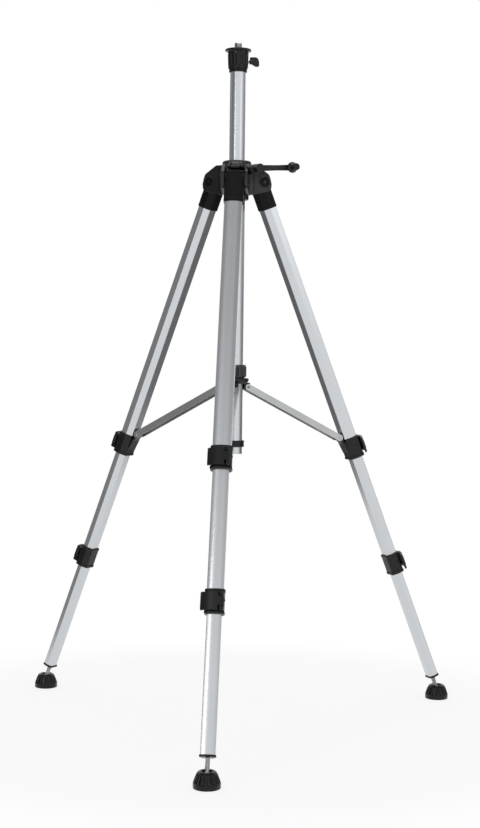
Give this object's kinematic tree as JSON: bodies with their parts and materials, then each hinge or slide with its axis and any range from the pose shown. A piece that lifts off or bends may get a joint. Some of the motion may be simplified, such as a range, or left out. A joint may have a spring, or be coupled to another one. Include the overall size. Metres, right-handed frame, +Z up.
{
  "type": "surveying tripod",
  "caption": "Folding surveying tripod with a crank-raised column, telescoping flip-lock legs, a mid-level spreader, swivel rubber feet and a threaded instrument stud.",
  "frame": {"origin": "point on the floor straight under the column, where a ground mark would be", "axes": "+Z up along the column, -Y towards the front leg, +X to the right of the front leg seen from the front"},
  "size_m": [0.9342, 0.8157, 1.4036],
  "materials": {
    "anodised_tube": "satin silver anodised extrusion",
    "arm_metal": "pressed channel, satin",
    "black_casting": "black powder coat",
    "black_plastic": "fine grained moulding",
    "steel": "bright zinc plate",
    "rubber": "moulded rubber",
    "level_trim": "smooth",
    "vial_glass": "clear, yellow-green fluid behind it"
  },
  "bodies": {
    "crown": {"crown_casting": "black_casting", "guide_tube": "anodised_tube", "guide_stop_ring": "black_plastic", "leg_pivot_bolts": "steel", "level_ring": "level_trim", "level_glass": "vial_glass"},
    "column": {"column_tube": "anodised_tube", "column_rack": "steel", "column_plug": "black_plastic", "column_cap": "black_plastic"},
    "pinion": {"lift_pinion": "steel"},
    "crank": {"crank_shaft": "steel", "crank_arm": "black_casting", "crank_knob_pin": "steel"},
    "crank_grip": {"crank_knob": "black_plastic"},
    "head": {"head_body": "black_plastic", "head_plate": "black_plastic", "head_stud": "steel"},
    "wing_screw": {"wing_screw_shank": "steel", "wing_screw_grip": "black_plastic"},
    "spreader": {"spreader_hub": "black_plastic", "spreader_hub_pins": "steel"},
    "spreader_lock": {"spreader_lock_collar": "black_plastic"},
    "leg_a_upper": {"leg_a_bracket": "black_casting", "leg_a_upper_tube": "anodised_tube", "leg_a_upper_clamp": "black_plastic"},
    "leg_a_upper_flip": {"leg_a_upper_lever": "black_plastic"},
    "leg_a_mid": {"leg_a_mid_tube": "anodised_tube", "leg_a_mid_clamp": "black_plastic"},
    "leg_a_mid_flip": {"leg_a_mid_lever": "black_plastic"},
    "leg_a_low": {"leg_a_low_tube": "anodised_tube", "leg_a_end_plug": "black_plastic", "leg_a_foot_rod": "steel"},
    "leg_a_swivel": {"leg_a_foot": "rubber"},
    "leg_a_brace": {"leg_a_spreader_arm": "arm_metal"},
    "leg_b_upper": {"leg_b_bracket": "black_casting", "leg_b_upper_tube": "anodised_tube", "leg_b_upper_clamp": "black_plastic"},
    "leg_b_upper_flip": {"leg_b_upper_lever": "black_plastic"},
    "leg_b_mid": {"leg_b_mid_tube": "anodised_tube", "leg_b_mid_clamp": "black_plastic"},
    "leg_b_mid_flip": {"leg_b_mid_lever": "black_plastic"},
    "leg_b_low": {"leg_b_low_tube": "anodised_tube", "leg_b_end_plug": "black_plastic", "leg_b_foot_rod": "steel"},
    "leg_b_swivel": {"leg_b_foot": "rubber"},
    "leg_b_brace": {"leg_b_spreader_arm": "arm_metal"},
    "leg_c_upper": {"leg_c_bracket": "black_casting", "leg_c_upper_tube": "anodised_tube", "leg_c_upper_clamp": "black_plastic"},
    "leg_c_upper_flip": {"leg_c_upper_lever": "black_plastic"},
    "leg_c_mid": {"leg_c_mid_tube": "anodised_tube", "leg_c_mid_clamp": "black_plastic"},
    "leg_c_mid_flip": {"leg_c_mid_lever": "black_plastic"},
    "leg_c_low": {"leg_c_low_tube": "anodised_tube", "leg_c_end_plug": "black_plastic", "leg_c_foot_rod": "steel"},
    "leg_c_swivel": {"leg_c_foot": "rubber"},
    "leg_c_brace": {"leg_c_spreader_arm": "arm_metal"}
  },
  "joints": [
    {"name": "column_lift", "type": "slide", "parent": "crown", "child": "column", "axis": [0, 0, 1], "range_m": [-0.178, 0.2]},
    {"name": "pinion_turn", "type": "hinge", "parent": "crown", "child": "pinion", "pos_m": [0, 0.02355, 1.14], "axis": [-1, 0, 0], "range_deg": [-1160, 1300]},
    {"name": "crank_turn", "type": "hinge", "parent": "crown", "child": "crank", "pos_m": [0.05098, -0.07417, 1.14], "axis": [0.5664, -0.8241, 0], "range_deg": [-1160, 1300]},
    {"name": "crank_grip_spin", "type": "hinge", "parent": "crank", "child": "crank_grip", "pos_m": [0.11786, -0.04034, 1.14572], "axis": [0.5664, -0.8241, 0], "continuous": true},
    {"name": "head_pan", "type": "hinge", "parent": "column", "child": "head", "pos_m": [0, 0, 1.3843], "axis": [0, 0, 1], "continuous": true},
    {"name": "wing_screw_turn", "type": "hinge", "parent": "head", "child": "wing_screw", "pos_m": [0.024, 0, 1.3643], "axis": [1, 0, 0], "range_deg": [0, 720]},
    {"name": "spreader_slide", "type": "slide", "parent": "crown", "child": "spreader", "axis": [0, 0, 1], "range_m": [0, 0.09]},
    {"name": "spreader_lock_twist", "type": "hinge", "parent": "spreader", "child": "spreader_lock", "pos_m": [0, 0, 0.7166], "axis": [0, 0, 1], "range_deg": [0, 120]},
    {"name": "leg_a_fold", "type": "hinge", "parent": "crown", "child": "leg_a_upper", "pos_m": [0, -0.051, 1.11982], "axis": [-1, 0, 0], "range_deg": [-18.2, 0]},
    {"name": "leg_a_upper_lever_flip", "type": "hinge", "parent": "leg_a_upper", "child": "leg_a_upper_flip", "pos_m": [0.013, -0.30432, 0.57487], "axis": [0, 0.3859, 0.9225], "range_deg": [0, 110]},
    {"name": "leg_a_mid_lever_flip", "type": "hinge", "parent": "leg_a_mid", "child": "leg_a_mid_flip", "pos_m": [0.013, -0.40939, 0.31748], "axis": [0, 0.3859, 0.9225], "range_deg": [0, 110]},
    {"name": "leg_a_mid_extend", "type": "slide", "parent": "leg_a_upper", "child": "leg_a_mid", "axis": [0, -0.3859, -0.9225], "range_m": [-0.226, 0.16]},
    {"name": "leg_a_low_extend", "type": "slide", "parent": "leg_a_mid", "child": "leg_a_low", "axis": [0, -0.3859, -0.9225], "range_m": [-0.245, 0.15]},
    {"name": "leg_a_foot_tilt", "type": "hinge", "parent": "leg_a_low", "child": "leg_a_swivel", "pos_m": [0, -0.51023, 0.022], "axis": [-1, 0, 0], "range_deg": [-8, 45]},
    {"name": "leg_a_brace_fold", "type": "hinge", "parent": "spreader", "child": "leg_a_brace", "pos_m": [0, -0.0275, 0.6963], "axis": [-1, 0, 0], "range_deg": [-58.13, 0]},
    {"name": "leg_b_fold", "type": "hinge", "parent": "crown", "child": "leg_b_upper", "pos_m": [0.04417, 0.0255, 1.11982], "axis": [0.5, -0.866, 0], "range_deg": [-18.2, 0]},
    {"name": "leg_b_upper_lever_flip", "type": "hinge", "parent": "leg_b_upper", "child": "leg_b_upper_flip", "pos_m": [0.25705, 0.16342, 0.57487], "axis": [-0.3342, -0.193, 0.9225], "range_deg": [0, 110]},
    {"name": "leg_b_mid_lever_flip", "type": "hinge", "parent": "leg_b_mid", "child": "leg_b_mid_flip", "pos_m": [0.34804, 0.21595, 0.31748], "axis": [-0.3342, -0.193, 0.9225], "range_deg": [0, 110]},
    {"name": "leg_b_mid_extend", "type": "slide", "parent": "leg_b_upper", "child": "leg_b_mid", "axis": [0.3342, 0.193, -0.9225], "range_m": [-0.226, 0.16]},
    {"name": "leg_b_low_extend", "type": "slide", "parent": "leg_b_mid", "child": "leg_b_low", "axis": [0.3342, 0.193, -0.9225], "range_m": [-0.245, 0.15]},
    {"name": "leg_b_foot_tilt", "type": "hinge", "parent": "leg_b_low", "child": "leg_b_swivel", "pos_m": [0.44187, 0.25511, 0.022], "axis": [0.5, -0.866, 0], "range_deg": [-8, 45]},
    {"name": "leg_b_brace_fold", "type": "hinge", "parent": "spreader", "child": "leg_b_brace", "pos_m": [0.02382, 0.01375, 0.6963], "axis": [0.5, -0.866, 0], "range_deg": [-58.13, 0]},
    {"name": "leg_c_fold", "type": "hinge", "parent": "crown", "child": "leg_c_upper", "pos_m": [-0.04417, 0.0255, 1.11982], "axis": [0.5, 0.866, 0], "range_deg": [-18.2, 0]},
    {"name": "leg_c_upper_lever_flip", "type": "hinge", "parent": "leg_c_upper", "child": "leg_c_upper_flip", "pos_m": [-0.27005, 0.1409, 0.57487], "axis": [0.3342, -0.193, 0.9225], "range_deg": [0, 110]},
    {"name": "leg_c_mid_lever_flip", "type": "hinge", "parent": "leg_c_mid", "child": "leg_c_mid_flip", "pos_m": [-0.36104, 0.19344, 0.31748], "axis": [0.3342, -0.193, 0.9225], "range_deg": [0, 110]},
    {"name": "leg_c_mid_extend", "type": "slide", "parent": "leg_c_upper", "child": "leg_c_mid", "axis": [-0.3342, 0.193, -0.9225], "range_m": [-0.226, 0.16]},
    {"name": "leg_c_low_extend", "type": "slide", "parent": "leg_c_mid", "child": "leg_c_low", "axis": [-0.3342, 0.193, -0.9225], "range_m": [-0.245, 0.15]},
    {"name": "leg_c_foot_tilt", "type": "hinge", "parent": "leg_c_low", "child": "leg_c_swivel", "pos_m": [-0.44187, 0.25511, 0.022], "axis": [0.5, 0.866, 0], "range_deg": [-8, 45]},
    {"name": "leg_c_brace_fold", "type": "hinge", "parent": "spreader", "child": "leg_c_brace", "pos_m": [-0.02382, 0.01375, 0.6963], "axis": [0.5, 0.866, 0], "range_deg": [-58.13, 0]}
  ],
  "couplings": [
    {"joint": "pinion_turn", "follows": "column_lift", "rad_per_m": 111.11},
    {"joint": "crank_turn", "follows": "column_lift", "rad_per_m": 111.11},
    {"joint": "leg_a_fold", "follows": "spreader_slide", "rad_per_m": -3.4325},
    {"joint": "leg_a_brace_fold", "follows": "spreader_slide", "rad_per_m": -11.176},
    {"joint": "leg_b_fold", "follows": "spreader_slide", "rad_per_m": -3.4325},
    {"joint": "leg_b_brace_fold", "follows": "spreader_slide", "rad_per_m": -11.176},
    {"joint": "leg_c_fold", "follows": "spreader_slide", "rad_per_m": -3.4325},
    {"joint": "leg_c_brace_fold", "follows": "spreader_slide", "rad_per_m": -11.176}
  ]
}
